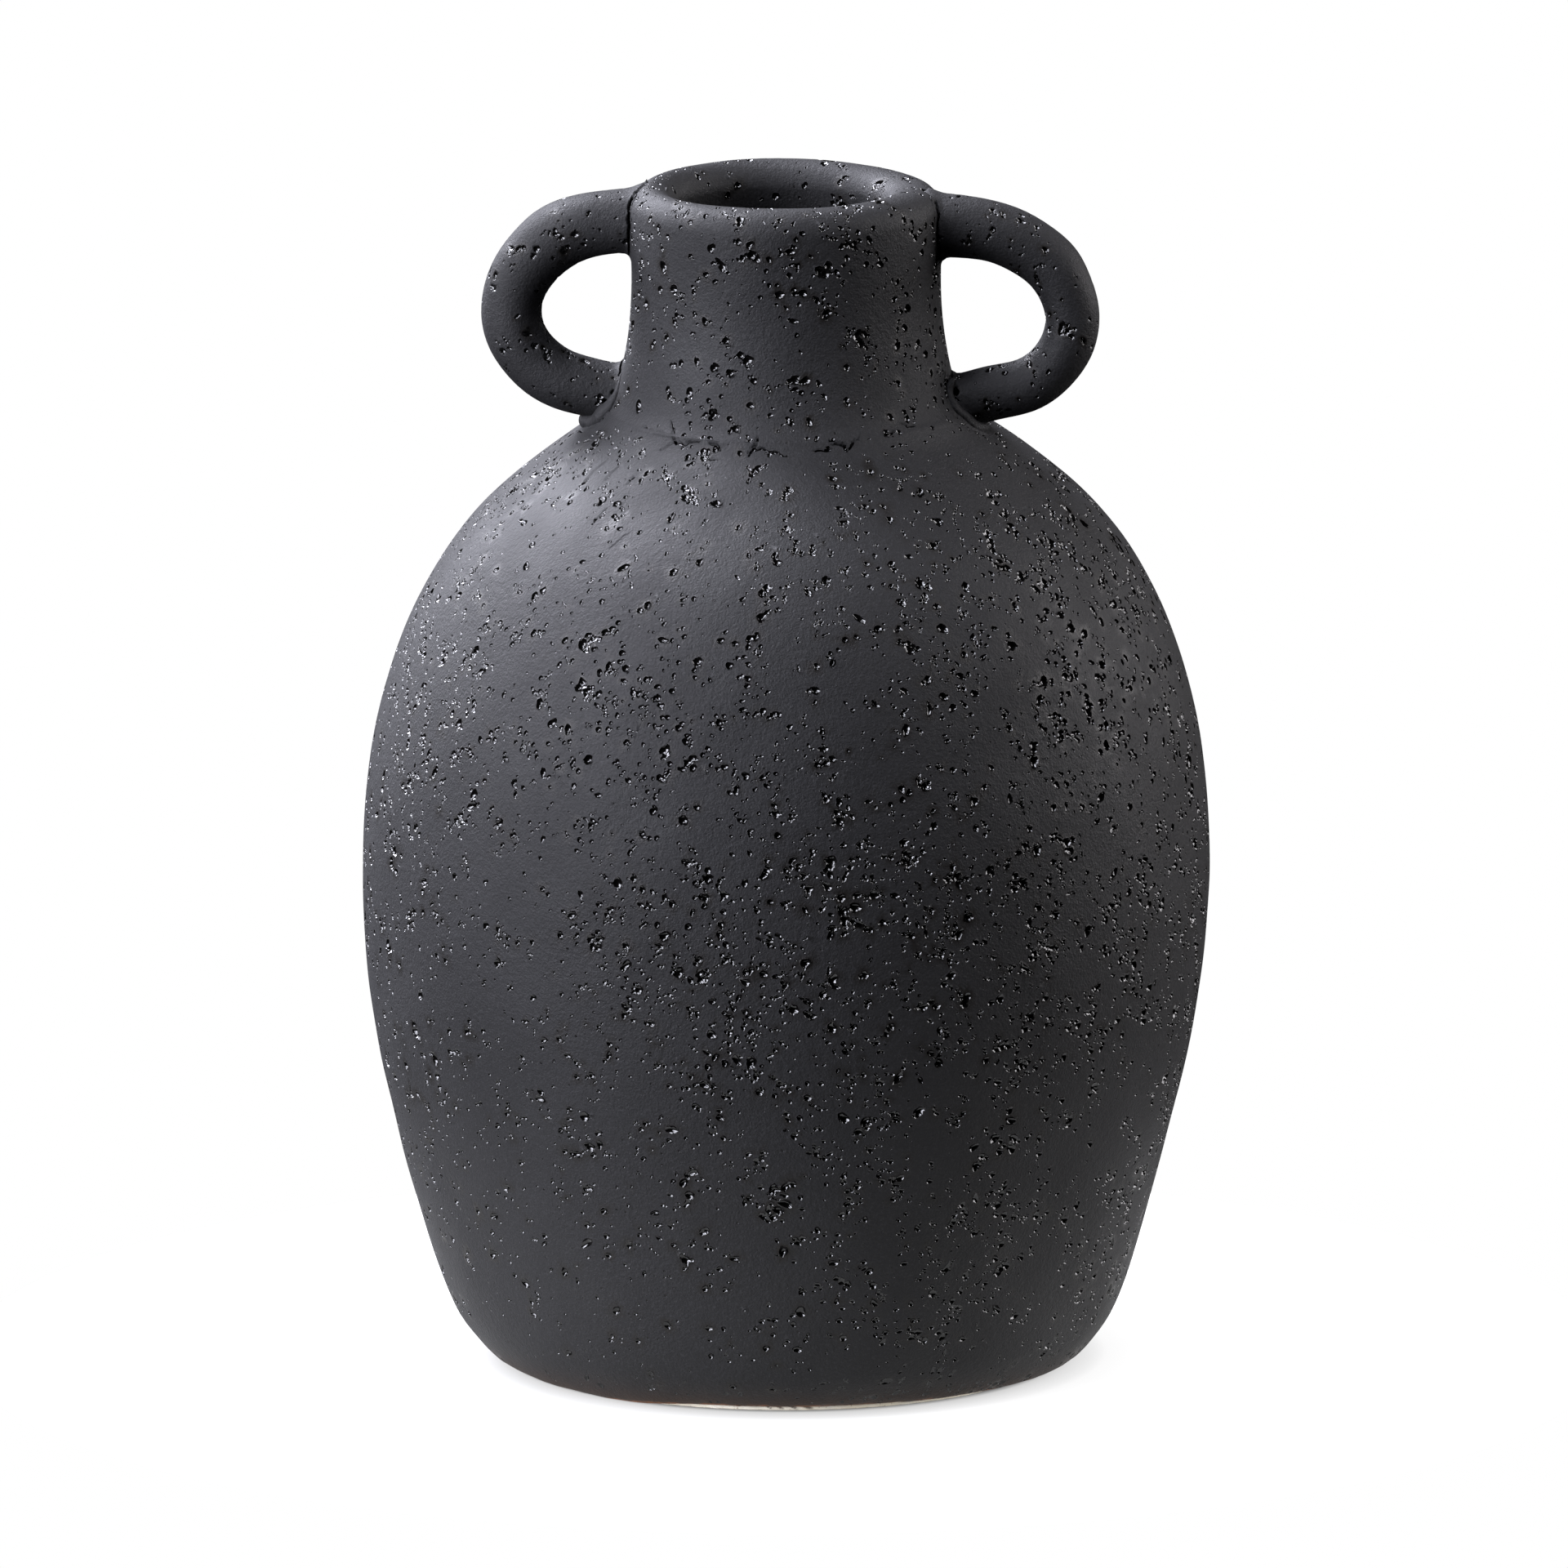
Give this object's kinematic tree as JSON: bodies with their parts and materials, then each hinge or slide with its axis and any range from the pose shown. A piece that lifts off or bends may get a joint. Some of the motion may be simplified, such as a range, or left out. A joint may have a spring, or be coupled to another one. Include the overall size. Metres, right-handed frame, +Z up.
{
  "type": "two-handled stoneware vase",
  "caption": "Narrow-necked stoneware vase with a full ovoid body, thick rounded lip and small coil loop handles either side of the neck; stands on a bare clay foot.",
  "frame": {"origin": "centre of the base, on the surface the vase stands on", "axes": "+Z up the vase's axis to the mouth, X through the two handles with the slightly larger handle at +X, Y front to back"},
  "size_m": [0.144, 0.144, 0.203],
  "materials": {
    "black_glaze": "satin-matte charcoal black glaze over stoneware, pitted all over with small glossy burst bubbles",
    "bare_clay": "unglazed fired buff stoneware"
  },
  "bodies": {
    "root": {"base_slab": "bare_clay", "body": "black_glaze", "neck": "black_glaze", "left_handle": "black_glaze", "right_handle": "black_glaze", "left_root_wad": "black_glaze", "right_root_wad": "black_glaze"}
  },
  "joints": []
}
